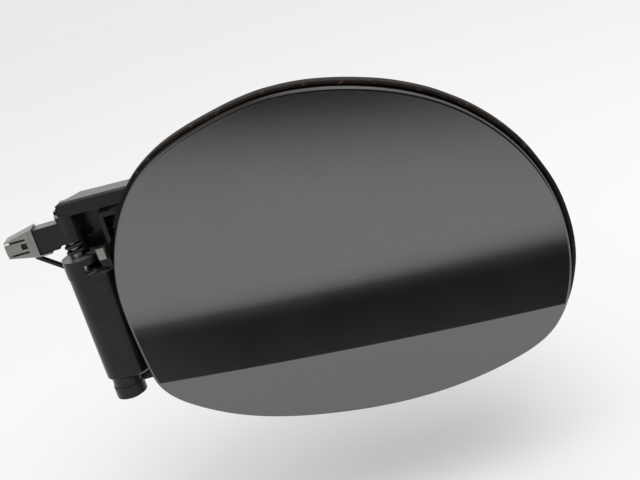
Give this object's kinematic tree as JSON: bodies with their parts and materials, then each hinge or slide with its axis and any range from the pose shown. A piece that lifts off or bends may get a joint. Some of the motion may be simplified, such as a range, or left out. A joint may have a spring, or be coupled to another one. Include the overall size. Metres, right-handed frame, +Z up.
{
  "type": "fuel filler flap with bowl",
  "caption": "Painted D-shaped fuel filler flap on a spring hinge, closed over a black moulded bowl with a rubber lip, a neck seal and a steel spring clip.",
  "frame": {"origin": "centre of the filler neck's hole, on the back face of the bowl's floor", "axes": "+X right as the closed flap is seen from outside, +Y back into the car body along the filler neck, +Z up along the hinge axis"},
  "size_m": [0.2228, 0.0772, 0.1439],
  "materials": {
    "body_paint": "dark grey metallic paint under clear coat",
    "black_moulding": "satin moulded",
    "panel_moulding": "matt moulded",
    "soft_rubber": "matt",
    "clip_steel": "plain rolled sheet",
    "pin_steel": "drawn",
    "spring_steel": "dark phosphate",
    "screw_steel": "zinc plated",
    "bush_plastic": "natural"
  },
  "bodies": {
    "bowl": {"filler_bowl": "black_moulding", "lip_seal": "soft_rubber", "neck_seal": "soft_rubber", "hinge_carrier": "black_moulding", "hinge_pin": "pin_steel", "torsion_spring": "spring_steel", "carrier_screws": "screw_steel", "spring_clip": "clip_steel", "lock_guide": "bush_plastic", "bump_stops": "soft_rubber"},
    "flap": {"flap_skin": "body_paint", "inner_panel": "panel_moulding", "hinge_arm": "black_moulding", "spring_anchor": "clip_steel", "lower_bush": "bush_plastic", "upper_bush": "bush_plastic", "barrel_cap": "black_moulding", "striker": "black_moulding", "arm_screws": "screw_steel"}
  },
  "joints": [
    {"name": "flap_hinge", "type": "hinge", "parent": "bowl", "child": "flap", "pos_m": [-0.1045, -0.043, 0], "axis": [0, 0, -1], "range_deg": [0, 100], "stiffness_Nm_per_rad": 0.03, "springref_deg": -20.05, "deforming": ["torsion_spring"]}
  ]
}
